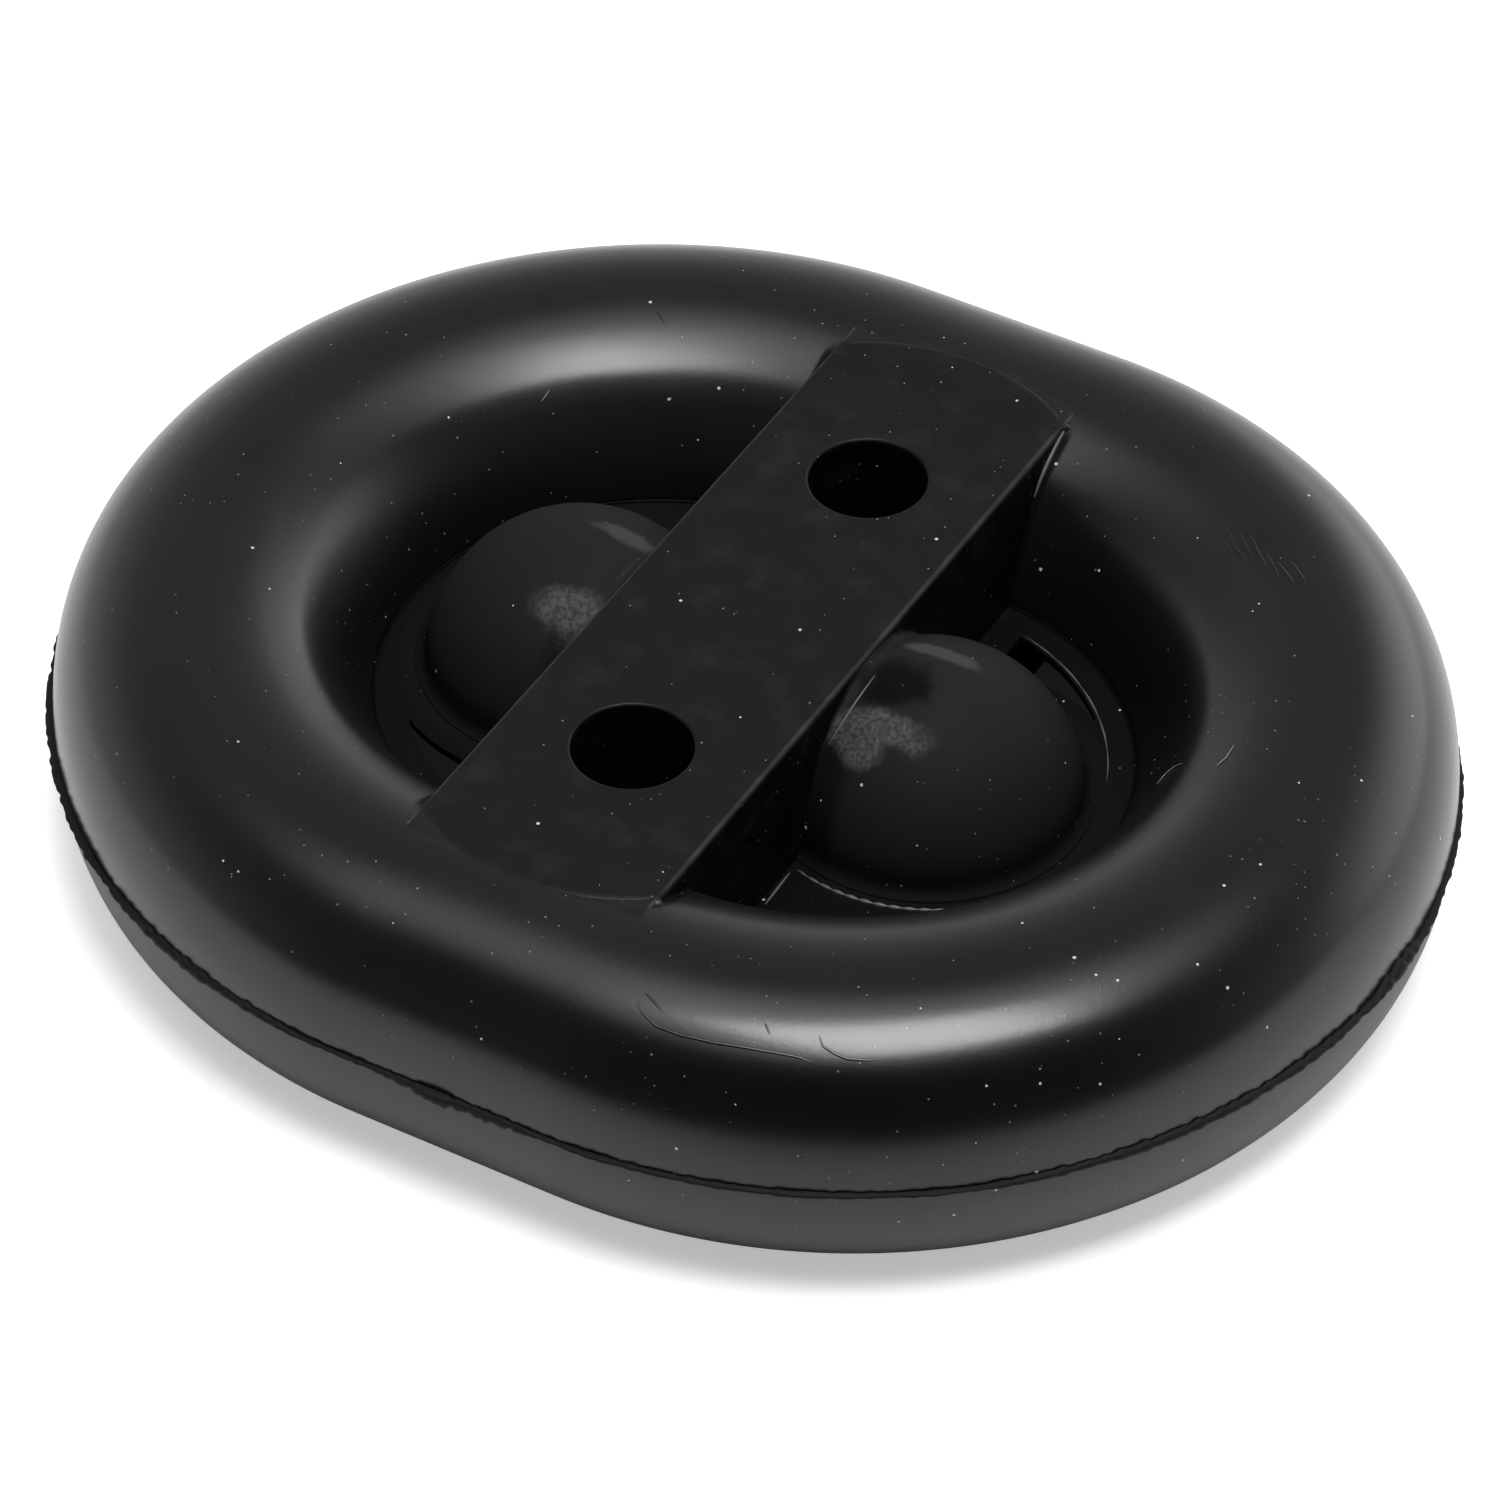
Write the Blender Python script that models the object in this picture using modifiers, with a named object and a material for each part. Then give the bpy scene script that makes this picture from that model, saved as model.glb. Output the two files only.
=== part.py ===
"""Moulded rubber exhaust hanger, modelled as one solid.

The hanger is a thick oval ring with a flat cross bar through its middle. Two pin
bores run through the bar, and a round bump stop stands on each side of it. A thin
web closes the pocket inside the ring at mid height, with a window in two of its
four corners. The upper and lower halves are alike, because the mould parts at
mid height, and its flash stands round the outside there.

Frame: origin at the middle of the hanger on the mould's parting plane. X is the
long way across the ring, through both bump stops. Y runs along the bar, and +Z is
the axis of the pin bores.
"""
import math

import bmesh
import bpy
from mathutils import Matrix, Vector

MM = 0.001

# Ring: an oval path of two half circles and two straight runs, and its section
END_CENTRE_X = 9.3 * MM         # from the middle to the centre of each round end
RING_RADIUS = 38.5 * MM         # of the section's crest round each end
RING_OUTER_WIDTH = 11.7 * MM    # of the section, from the crest to its outer side
RING_INNER_WIDTH = 15.0 * MM    # of the section, from the crest to the foot in the pocket
RING_HALF_HEIGHT = 12.7 * MM    # of the section, from the parting plane to the crest
SECTION_POWER = 2.42            # 2 is an ellipse, more is fuller at the shoulders
SHOULDER_SLOPE = math.radians(45)   # where the crest's curve goes over into the flank
FOOT_SLOPE = math.radians(74)       # where the flank meets the web
FLASH_PROUD = 0.7 * MM          # how far the parting flash stands out of the ring
FLASH_HALF_THICKNESS = 0.35 * MM
FLASH_EDGE_HALF_THICKNESS = 0.2 * MM

# Web
WEB_HALF_THICKNESS = 0.35 * MM
WEB_SINK = 1.5 * MM             # how far the web's edge runs into the pocket's wall

# Cross bar
BAR_HALF_HEIGHT = 12.6 * MM
BAR_HALF_WIDTH = 10.95 * MM     # at its flat faces
BAR_DRAFT = 0.6 * MM            # more half width at the parting plane
BAR_EDGE_RADIUS = 0.35 * MM

# Pin bores
BORE_RADIUS = 5.0 * MM
BORE_SPACING = 38.6 * MM
BORE_MOUTH_RADIUS = 0.3 * MM    # rounding of the bore's mouth

# Bump stops
DOME_RADIUS = 12.95 * MM
DOME_STANDOFF = 5.15 * MM       # from the bar's side at the parting plane to the centre
DOME_FOOT_FILLET = 1.2 * MM
SADDLE_SIZE = 1.7 * MM          # fillet between a bump stop's crown and the bar's edge
SADDLE_END_SIZE = 0.25 * MM     # what the fillet dies down to at its ends
SADDLE_HALF_TURN = math.radians(48)

# Windows in the web
WINDOW_BAR_MARGIN = 2.7 * MM    # web left beside the bar
WINDOW_RING_MARGIN = 2.5 * MM   # web left inside the pocket's wall
WINDOW_DOME_MARGIN = 2.7 * MM   # web left round the bump stop's foot

# How far one shape runs into or past another, so that their faces cross
SEAT = 0.1 * MM
HAIR = 0.02 * MM
OVERRUN = 5.0 * MM
MERGE = 0.01 * MM

# Facets
END_STEPS = 14                  # along a quarter of the ring, round its end
SECTION_STEPS = 8               # from the flash to the crest
SHOULDER_STEPS = 4              # from the crest to the flank
FLANK_STEPS = 7                 # down the flank to the web
DOME_STEPS = 36                 # round a bump stop
DOME_ARC_STEPS = 8              # from its crown to its foot fillet
FILLET_STEPS = 3
MOUTH_STEPS = 2
SADDLE_STEPS = 12
BORE_SEGMENTS = 36
WINDOW_SEGMENTS = 72

# Sizes that follow from those above
DOME_X = BAR_HALF_WIDTH + BAR_DRAFT + DOME_STANDOFF
POCKET_RADIUS = RING_RADIUS - RING_INNER_WIDTH
DOME_FOOT_RADIUS = DOME_RADIUS + DOME_FOOT_FILLET / 2


def clear_scene():
    """Remove every object and mesh of the start-up scene."""
    for old in list(bpy.data.objects):
        bpy.data.objects.remove(old, do_unlink=True)
    for mesh in list(bpy.data.meshes):
        bpy.data.meshes.remove(mesh)


def new_collection(name):
    """Return a new collection under the scene."""
    made = bpy.data.collections.new(name)
    bpy.context.scene.collection.children.link(made)
    return made


def new_object(name, bm, collection):
    """Turn a bmesh into a smooth-shaded object with its faces pointing out."""
    bmesh.ops.recalc_face_normals(bm, faces=bm.faces)
    mesh = bpy.data.meshes.new(name)
    bm.to_mesh(mesh)
    bm.free()
    mesh.shade_smooth()
    made = bpy.data.objects.new(name, mesh)
    collection.objects.link(made)
    return made


def as_guide(made):
    """Mark an object that only shapes another one."""
    made.hide_render = True
    made.display_type = "WIRE"
    return made


def add_mirror(made, use_axis):
    """Mirror an object across the planes through the origin."""
    mirror = made.modifiers.new("mirror", "MIRROR")
    mirror.use_axis = use_axis
    mirror.merge_threshold = MERGE
    return mirror


def add_boolean(made, operation, other):
    """Join another closed shape to an object, or cut it out."""
    boolean = made.modifiers.new(f"{operation.lower()}_{other.name}", "BOOLEAN")
    boolean.operation = operation
    boolean.solver = "EXACT"
    boolean.object = other


def rubber():
    """Black moulded rubber with a satin skin."""
    material = bpy.data.materials.new("black_rubber")
    material.use_nodes = True
    shader = material.node_tree.nodes["Principled BSDF"]
    shader.inputs["Base Color"].default_value = (0.012, 0.012, 0.013, 1.0)
    shader.inputs["Roughness"].default_value = 0.42
    shader.inputs["Metallic"].default_value = 0.0
    material.diffuse_color = (0.05, 0.05, 0.055, 1.0)
    return material


def section_point(turn):
    """Point of the ring's crest curve, turned from its outer side (0) over its top."""
    power = 2 / SECTION_POWER
    across = math.copysign(abs(math.cos(turn)) ** power, math.cos(turn))
    return RING_RADIUS + RING_OUTER_WIDTH * across, RING_HALF_HEIGHT * math.sin(turn) ** power


def section_turn(height):
    """The turn at which the crest curve's outer side has this height."""
    return math.asin((height / RING_HALF_HEIGHT) ** (SECTION_POWER / 2))


def shoulder_turn():
    """The turn at which the crest curve falls towards the pocket at the shoulder's slope."""
    ratio = math.tan(SHOULDER_SLOPE) * RING_OUTER_WIDTH / RING_HALF_HEIGHT
    return math.pi / 2 + math.atan(ratio ** (SECTION_POWER / (2 * SECTION_POWER - 2)))


def bend(start, corner, end, steps):
    """Points of a curve from start to end that leaves and arrives pointing at corner."""
    points = []
    for step in range(1, steps + 1):
        t = step / steps
        u = 1 - t
        points.append(tuple(u * u * a + 2 * u * t * b + t * t * c
                            for a, b, c in zip(start, corner, end)))
    return points


def flank(start, end):
    """Points from start to end that leave at the shoulder's slope and arrive at the foot's."""
    down = Vector((math.cos(SHOULDER_SLOPE), math.sin(SHOULDER_SLOPE)))
    up = Vector((math.cos(FOOT_SLOPE), math.sin(FOOT_SLOPE)))
    chord = Vector(start) - Vector(end)
    reach = chord.cross(up) / down.cross(up)
    knee = Vector(start) - down * reach
    return bend(start, knee, end, FLANK_STEPS)


def ring_section():
    """Closed outline of the ring's section as (distance from the end's centre, height)."""
    outer = section_turn(FLASH_HALF_THICKNESS)
    crest = math.pi / 2
    shoulder = shoulder_turn()
    upper = [(RING_RADIUS + RING_OUTER_WIDTH + FLASH_PROUD, FLASH_EDGE_HALF_THICKNESS)]
    for low, high, steps in ((outer, crest, SECTION_STEPS), (crest, shoulder, SHOULDER_STEPS)):
        upper += [section_point(low + (high - low) * step / steps) for step in range(steps)]
    upper.append(section_point(shoulder))
    upper += flank(upper[-1], (POCKET_RADIUS, WEB_HALF_THICKNESS - SEAT))
    return upper + [(across, -height) for across, height in reversed(upper)]


def make_ring(collection):
    """Carry the section along a quarter of the oval path, and mirror it twice."""
    bm = bmesh.new()
    verts = [bm.verts.new((0, across, height)) for across, height in ring_section()]
    edges = [bm.edges.new((a, b)) for a, b in zip(verts, verts[1:] + verts[:1])]
    run = bmesh.ops.extrude_edge_only(bm, edges=edges)["geom"]
    end_verts = [item for item in run if isinstance(item, bmesh.types.BMVert)]
    end_edges = [item for item in run if isinstance(item, bmesh.types.BMEdge)
                 and item.verts[0] in end_verts and item.verts[1] in end_verts]
    bmesh.ops.translate(bm, verts=end_verts, vec=(END_CENTRE_X, 0, 0))
    bmesh.ops.spin(bm, geom=end_verts + end_edges, cent=(END_CENTRE_X, 0, 0), axis=(0, 0, 1),
                   angle=-math.pi / 2, steps=END_STEPS)
    ring = new_object("hanger_body", bm, collection)
    add_mirror(ring, (True, True, False))
    return ring


def make_web(collection):
    """A flat oval plate, wide enough to run into the pocket's wall."""
    bm = bmesh.new()
    bmesh.ops.create_cone(bm, cap_ends=True, segments=4 * END_STEPS,
                          radius1=POCKET_RADIUS + WEB_SINK, radius2=POCKET_RADIUS + WEB_SINK,
                          depth=2 * WEB_HALF_THICKNESS,
                          matrix=Matrix.Rotation(math.pi / (4 * END_STEPS), 4, "Z"))
    for vert in bm.verts:
        vert.co.x += math.copysign(END_CENTRE_X, vert.co.x)
    return as_guide(new_object("web", bm, collection))


def make_bar(collection):
    """Upper half of the bar, tapered for draft and open below, then mirrored down."""
    bm = bmesh.new()
    bmesh.ops.create_cube(bm, size=2)
    half_base = BAR_HALF_WIDTH + BAR_DRAFT
    for vert in bm.verts:
        top = vert.co.z > 0
        vert.co.x *= BAR_HALF_WIDTH if top else half_base
        vert.co.y *= RING_RADIUS
        vert.co.z = BAR_HALF_HEIGHT if top else 0
    floor = [face for face in bm.faces if all(vert.co.z == 0 for vert in face.verts)]
    bmesh.ops.delete(bm, geom=floor, context="FACES_ONLY")
    bar = as_guide(new_object("bar", bm, collection))
    add_mirror(bar, (False, False, True))
    bevel = bar.modifiers.new("rounded_edges", "BEVEL")
    bevel.width = BAR_EDGE_RADIUS
    bevel.segments = 2
    bevel.limit_method = "ANGLE"
    bevel.angle_limit = math.radians(45)
    return bar


def dome_profile():
    """Half outline of a bump stop, from its crown to the parting plane."""
    floor = WEB_HALF_THICKNESS - SEAT
    centre_height = floor + DOME_FOOT_FILLET
    reach = DOME_RADIUS + DOME_FOOT_FILLET
    centre_across = math.sqrt(reach * reach - centre_height * centre_height)
    touch = math.asin(centre_height / reach)
    points = [(0.0, DOME_RADIUS)]
    for step in range(1, DOME_ARC_STEPS + 1):
        turn = math.pi / 2 - (math.pi / 2 - touch) * step / DOME_ARC_STEPS
        points.append((DOME_RADIUS * math.cos(turn), DOME_RADIUS * math.sin(turn)))
    for step in range(1, FILLET_STEPS + 1):
        turn = touch + (math.pi / 2 - touch) * step / FILLET_STEPS
        points.append((centre_across - DOME_FOOT_FILLET * math.cos(turn),
                       centre_height - DOME_FOOT_FILLET * math.sin(turn)))
    return points


def make_domes(collection):
    """Turn the bump stop's outline about its own upright axis, once on each side."""
    upper = dome_profile()
    outline = upper + [(across, -height) for across, height in reversed(upper)]
    domes = []
    for side, name in ((-1, "dome_left"), (1, "dome_right")):
        bm = bmesh.new()
        verts = [bm.verts.new((across, 0, height)) for across, height in outline]
        for a, b in zip(verts, verts[1:]):
            bm.edges.new((a, b))
        dome = as_guide(new_object(name, bm, collection))
        dome.location.x = side * DOME_X
        screw = dome.modifiers.new("turn", "SCREW")
        screw.axis = "Z"
        screw.angle = 2 * math.pi
        screw.steps = DOME_STEPS
        screw.render_steps = DOME_STEPS
        screw.use_merge_vertices = True
        screw.merge_threshold = MERGE
        domes.append(dome)
    return domes


def bar_side(height):
    """Distance of the bar's side from its middle at this height, with its draft."""
    return BAR_HALF_WIDTH + BAR_DRAFT * (1 - height / BAR_HALF_HEIGHT)


def saddle_section(turn):
    """Section of the saddle fillet, this far round the circle where dome and bar meet."""
    taper = 1 - (turn / SADDLE_HALF_TURN) ** 2
    size = SADDLE_END_SIZE + (SADDLE_SIZE - SADDLE_END_SIZE) * taper
    centre = Vector((DOME_X, 0, 0))
    depth = DOME_X - bar_side(DOME_RADIUS * math.cos(turn))
    meeting = math.sqrt(DOME_RADIUS ** 2 - depth ** 2)
    corner = Vector((DOME_X - depth, meeting * math.sin(turn), meeting * math.cos(turn)))
    wall_top = BAR_HALF_HEIGHT - BAR_EDGE_RADIUS
    if corner.z + size < wall_top:
        on_bar = Vector((bar_side(corner.z + size), corner.y, corner.z + size))
    else:
        on_bar = Vector((BAR_HALF_WIDTH - BAR_EDGE_RADIUS, corner.y, BAR_HALF_HEIGHT - HAIR))
    outward = (corner - centre).normalized()
    onward = (Vector((1, 0, 0)) - outward * outward.x).normalized()
    on_dome = centre + (corner + onward * size - centre).normalized() * DOME_RADIUS
    knee = Vector((corner.x, corner.y, min(corner.z, wall_top)))
    curve = [on_bar] + [Vector(point) for point in bend(on_bar, knee, on_dome, FILLET_STEPS)]
    buried = [on_dome - outward * size, knee - Vector((size, 0, size)),
              on_bar - Vector((size, 0, SEAT))]
    return curve + buried


def make_saddle(collection):
    """Loft the fillet along the place where a bump stop runs into the bar's edge."""
    bm = bmesh.new()
    rows = []
    for step in range(SADDLE_STEPS + 1):
        turn = SADDLE_HALF_TURN * (2 * step / SADDLE_STEPS - 1)
        rows.append([bm.verts.new(point) for point in saddle_section(turn)])
    for low, high in zip(rows, rows[1:]):
        for index in range(len(low)):
            after = (index + 1) % len(low)
            bm.faces.new((low[index], low[after], high[after], high[index]))
    bm.faces.new(rows[0])
    bm.faces.new(rows[-1])
    saddle = as_guide(new_object("saddle", bm, collection))
    add_mirror(saddle, (True, False, True))
    return saddle


def make_bore(name, side, collection):
    """Over-long cutter for one pin bore, flared at both mouths."""
    half = BAR_HALF_HEIGHT + OVERRUN
    flare = BORE_MOUTH_RADIUS
    outline = [(0, half), (BORE_RADIUS + flare, half), (BORE_RADIUS + flare, BAR_HALF_HEIGHT)]
    outline += bend((BORE_RADIUS + flare, BAR_HALF_HEIGHT), (BORE_RADIUS, BAR_HALF_HEIGHT),
                    (BORE_RADIUS, BAR_HALF_HEIGHT - flare), MOUTH_STEPS)
    outline += [(across, -height) for across, height in reversed(outline)]
    bm = bmesh.new()
    verts = [bm.verts.new((across, 0, height)) for across, height in outline]
    for a, b in zip(verts, verts[1:]):
        bm.edges.new((a, b))
    bore = as_guide(new_object(name, bm, collection))
    bore.location.y = side * BORE_SPACING / 2
    screw = bore.modifiers.new("turn", "SCREW")
    screw.axis = "Z"
    screw.angle = 2 * math.pi
    screw.steps = BORE_SEGMENTS
    screw.render_steps = BORE_SEGMENTS
    screw.use_merge_vertices = True
    screw.merge_threshold = MERGE
    return bore


def make_cylinder(name, radius, centre_x, collection):
    """Upright cylinder through the web."""
    bm = bmesh.new()
    bmesh.ops.create_cone(bm, cap_ends=True, segments=WINDOW_SEGMENTS, radius1=radius,
                          radius2=radius, depth=2 * OVERRUN)
    made = as_guide(new_object(name, bm, collection))
    made.location.x = centre_x
    return made


def make_window(collection):
    """Cutter for one window: inside the pocket's wall, beyond the dome, beside the bar."""
    window = make_cylinder("window", POCKET_RADIUS - WINDOW_RING_MARGIN, END_CENTRE_X, collection)
    round_dome = make_cylinder("window_dome_margin", DOME_FOOT_RADIUS + WINDOW_DOME_MARGIN,
                               DOME_X, collection)
    round_dome.scale.z = 2
    bm = bmesh.new()
    bmesh.ops.create_cube(bm, size=1)
    near_x = BAR_HALF_WIDTH + BAR_DRAFT + WINDOW_BAR_MARGIN
    far = POCKET_RADIUS + END_CENTRE_X
    for vert in bm.verts:
        vert.co.x = near_x if vert.co.x < 0 else far
        vert.co.y = 0 if vert.co.y < 0 else far
        vert.co.z *= 4 * OVERRUN
    corner = as_guide(new_object("window_corner", bm, collection))
    add_boolean(window, "INTERSECT", corner)
    add_boolean(window, "DIFFERENCE", round_dome)
    return window


def turned_copy(source, name, collection):
    """A second object on the same mesh, turned half round the hanger's axis."""
    made = as_guide(bpy.data.objects.new(name, source.data))
    collection.objects.link(made)
    made.location = Vector((-source.location.x, -source.location.y, source.location.z))
    made.rotation_euler.z = math.pi
    for old in source.modifiers:
        add_boolean(made, old.operation, turned_copy(old.object, f"{old.object.name}_turned",
                                                     collection))
    return made


def main():
    clear_scene()
    parts = new_collection("exhaust_hanger")
    shapes = new_collection("joined_shapes")
    cutters = new_collection("cutters")

    body = make_ring(parts)
    body.data.materials.append(rubber())
    joined = [make_web(shapes), make_bar(shapes)] + make_domes(shapes) + [make_saddle(shapes)]
    for shape in joined:
        add_boolean(body, "UNION", shape)
    window = make_window(cutters)
    cuts = [make_bore("bore_near", -1, cutters), make_bore("bore_far", 1, cutters), window,
            turned_copy(window, "window_turned", cutters)]
    for cutter in cuts:
        add_boolean(body, "DIFFERENCE", cutter)


main()
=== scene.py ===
"""Looks of a moulded rubber exhaust hanger, in the order in which its mould shapes it."""
import math

import bpy
import numpy as np
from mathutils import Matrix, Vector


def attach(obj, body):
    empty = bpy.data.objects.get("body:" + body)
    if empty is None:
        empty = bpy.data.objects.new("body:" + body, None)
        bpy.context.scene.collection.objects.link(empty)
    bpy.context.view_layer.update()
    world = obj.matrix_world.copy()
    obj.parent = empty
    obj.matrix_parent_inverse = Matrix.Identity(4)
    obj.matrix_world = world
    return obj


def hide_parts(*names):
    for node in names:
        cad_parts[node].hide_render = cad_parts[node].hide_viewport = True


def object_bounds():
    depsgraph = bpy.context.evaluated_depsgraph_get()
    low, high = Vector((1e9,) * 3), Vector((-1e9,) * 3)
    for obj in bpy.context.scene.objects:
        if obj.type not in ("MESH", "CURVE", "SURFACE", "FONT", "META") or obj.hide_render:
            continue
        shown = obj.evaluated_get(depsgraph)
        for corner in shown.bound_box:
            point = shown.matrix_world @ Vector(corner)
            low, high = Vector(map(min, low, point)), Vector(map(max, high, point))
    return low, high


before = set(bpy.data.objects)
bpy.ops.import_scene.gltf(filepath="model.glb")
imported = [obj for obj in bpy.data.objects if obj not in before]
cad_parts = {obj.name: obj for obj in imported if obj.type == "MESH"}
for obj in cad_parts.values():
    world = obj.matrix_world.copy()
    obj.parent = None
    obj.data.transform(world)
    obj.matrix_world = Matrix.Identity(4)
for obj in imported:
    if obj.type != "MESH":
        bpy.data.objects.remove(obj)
cad_low, cad_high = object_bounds()
mm = 0.001

# Camera: it stands above and before the near side, turned a third of a right angle to the
# right of the cross bar's line, with a long lens, so that the ring is hardly foreshortened.
view_turn = math.radians(30.02)
view_drop = math.radians(42.10)
view_distance = 627.6 * mm
aim_right = 0.2 * mm
aim_up = 2.2 * mm
lens_length = 181.3

to_right = np.array((math.cos(view_turn), math.sin(view_turn), 0))
to_front = np.array((math.sin(view_turn), -math.cos(view_turn), 0))
to_camera = to_front * math.cos(view_drop) + np.array((0, 0, math.sin(view_drop)))
to_top = np.array((0, 0, math.cos(view_drop))) - to_front * math.sin(view_drop)
camera_data = bpy.data.cameras.new("camera")
camera_data.lens = lens_length
camera_data.sensor_width = 36
camera_data.clip_start = 0.01
camera_data.clip_end = 20
camera = bpy.data.objects.new("camera", camera_data)
camera.location = to_camera * view_distance - to_right * aim_right - to_top * aim_up
camera.rotation_euler = (math.pi / 2 - view_drop, 0, view_turn)
bpy.context.scene.collection.objects.link(camera)
bpy.context.scene.camera = camera


# Ring: the outer body of the moulding, one thick section carried round an oval of two half
# circles and two straight runs. Solid rubber, pressed in a two-part mould that parts at mid
# height. A long round flank leads from the shoulder of its crest down to the thin web.
end_centre_x = 9.3 * mm
ring_radius = 38.5 * mm
ring_outer_width = 11.7 * mm
ring_inner_width = 15.0 * mm
ring_half_height = 12.7 * mm
section_power = 2.42
# slope of the inner side in degrees, at these shares of its width from the crest to the foot
inner_slopes = ((0, 0.19, 0.32, 0.40, 0.50, 0.58, 0.645, 0.73, 0.87, 0.97, 1.0),
                (0, 7, 15, 22, 27, 33, 46, 54, 60.5, 69, 73))
web_half_thickness = 0.35 * mm
seat = 0.1 * mm
pocket_radius = ring_radius - ring_inner_width
witness_bead = 0.09 * mm          # line left by the joint of the mould's core, round the web
bead_gap = 0.6 * witness_bead     # between points on it
ring_fine_gap = 0.38 * mm         # between points where the bar runs in
ring_wide_gap = 0.95 * mm         # and everywhere else
gap_change_in = 3 * mm            # inside the crest, the wide gap begins to narrow,
gap_change_width = 4 * mm         # over this width
bar_reach_x = 13.0 * mm
oval_length = 4 * end_centre_x + 2 * math.pi * ring_radius


def spaced(points, gaps):
    """Points along a dense line of points, as far apart as gaps says at each of them.

    The steps between the dense points, each divided by the gap wanted there, are summed up,
    and the result is read off at whole numbers of that sum.
    """
    steps = np.linalg.norm(np.diff(points, axis=0), axis=1)
    count = np.concatenate(([0], np.cumsum(steps / ((gaps[1:] + gaps[:-1]) / 2))))
    whole = np.linspace(0, count[-1], int(round(count[-1])) + 1)
    return np.stack([np.interp(whole, count, axis) for axis in points.T], axis=1)


def crest_curve(turn):
    """Super-ellipse: outer width times the cosine and half height times the sine, each raised
    to two over the section's power with its sign kept."""
    power = 2 / section_power
    across = np.sign(np.cos(turn)) * np.abs(np.cos(turn)) ** power
    return np.stack((ring_radius + ring_outer_width * across,
                     ring_half_height * np.abs(np.sin(turn)) ** power), axis=1)


def inner_side(foot):
    """From the crest down to the foot in the pocket: the tangent of the slope, read off between
    the table's shares, is summed up over the width, and scaled to end at the foot's height."""
    share = np.linspace(0, 1, 900)
    fall = np.tan(np.radians(np.interp(share, *inner_slopes)))
    fall = np.concatenate(((0,), np.cumsum((fall[1:] + fall[:-1]) / 2)))
    across = ring_radius + (foot[0] - ring_radius) * share
    height = ring_half_height - (ring_half_height - foot[1]) * fall / fall[-1]
    return np.stack((across, height), axis=1)


def ring_outline():
    """Closed outline of the section: distance from the end's centre, and height.

    The upper half runs from the parting line to the crest, down the inner side, over a small
    bead at the web, and is repeated below upside down.
    """
    arch = crest_curve(np.linspace(0, math.pi / 2, 900))
    foot = np.array((pocket_radius, web_half_thickness))
    side = inner_side(foot + (witness_bead, witness_bead))
    bead_turn = np.linspace(0, math.pi, 40)
    bead = foot + witness_bead * np.stack((np.cos(bead_turn), 1 + np.sin(bead_turn)), axis=1)
    under = foot[None] - ((witness_bead, seat),)
    upper = np.concatenate((arch, side[1:], bead[1:], under))
    inner = np.clip((ring_radius - gap_change_in - upper[:, 0]) / gap_change_width, 0, 1)
    gaps = ring_wide_gap + (ring_fine_gap - ring_wide_gap) * inner
    near_foot = np.linalg.norm(upper - foot, axis=1) < 4 * witness_bead
    gaps[near_foot] = bead_gap
    upper = spaced(upper, gaps)
    return np.concatenate((upper, upper[:0:-1] * (1, -1)))


def oval(along):
    """Point and outward direction of the oval at each distance along it.

    The middle of the turning circle runs along the straight sides, while the direction turns
    half round at each end: both are straight lines over the distance.
    """
    straight = 2 * end_centre_x
    arc = math.pi * ring_radius
    knots = np.cumsum((0, straight, arc, straight, arc))
    middle = np.interp(along, knots, end_centre_x * np.array((-1, 1, 1, -1, -1)))
    angle = np.interp(along, knots, np.radians((90, 90, -90, -90, -270)))
    return middle, np.cos(angle), np.sin(angle)


def oval_steps():
    """Distances along the oval, close together where the cross bar runs in."""
    along = np.linspace(0, oval_length, 9001)
    middle, out_x, _ = oval(along)
    from_bar = np.abs(middle + out_x * (ring_radius - ring_outer_width)) - bar_reach_x
    gaps = np.where(from_bar < 0, ring_fine_gap, ring_wide_gap)
    return spaced(along[:, None], gaps)[:-1, 0]


def new_solid(name, points, faces):
    """Closed mesh whose faces all point out: where the sum over all faces of centre times
    area vector, three times the volume, is negative, every face is turned round."""
    mesh = bpy.data.meshes.new(name)
    mesh.from_pydata(points.reshape(-1, 3), [], faces)
    centres = np.empty(len(mesh.polygons) * 3)
    normals = np.empty(len(mesh.polygons) * 3)
    areas = np.empty(len(mesh.polygons))
    mesh.polygons.foreach_get("center", centres)
    mesh.polygons.foreach_get("normal", normals)
    mesh.polygons.foreach_get("area", areas)
    if ((centres * normals).reshape(-1, 3).sum(axis=1) * areas).sum() < 0:
        mesh.flip_normals()
    made = bpy.data.objects.new(name, mesh)
    bpy.context.scene.collection.objects.link(made)
    return made


def grid_faces(rows, columns, closed_rows):
    """Quads between neighbours of a grid whose columns close on themselves."""
    index = np.arange(rows * columns).reshape(rows, columns)
    index = np.concatenate((index, index[:, :1]), axis=1)
    if closed_rows:
        index = np.concatenate((index, index[:1]))
    quads = np.stack((index[:-1, :-1], index[:-1, 1:], index[1:, 1:], index[1:, :-1]), axis=-1)
    return quads.reshape(-1, 4).tolist()


def carried_round(outline, along):
    """The outline set upright at each step along the oval, facing out: the point lies at the
    turning circle's middle plus its distance times the outward direction."""
    middle, out_x, out_y = oval(along)
    across, height = outline.T
    return np.stack((middle[:, None] + out_x[:, None] * across,
                     out_y[:, None] * across,
                     np.broadcast_to(height, (len(along), len(across)))), axis=-1)


ring_grid = carried_round(ring_outline(), oval_steps())
hanger = new_solid("hanger", ring_grid, grid_faces(*ring_grid.shape[:2], True))


# Web: a thin skin of the same rubber that closes the pocket at mid height, moulded with the
# ring. It is a flat oval plate whose edge is sunk into the flank.
web_sink = 1.5 * mm
web_stride = 4                    # of the ring's steps, for the hidden edge
web_edge = np.array(((pocket_radius + web_sink, web_half_thickness),
                     (pocket_radius + web_sink, -web_half_thickness)))
web_grid = carried_round(web_edge, oval_steps()[::web_stride])
web_count = len(web_grid)
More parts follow.
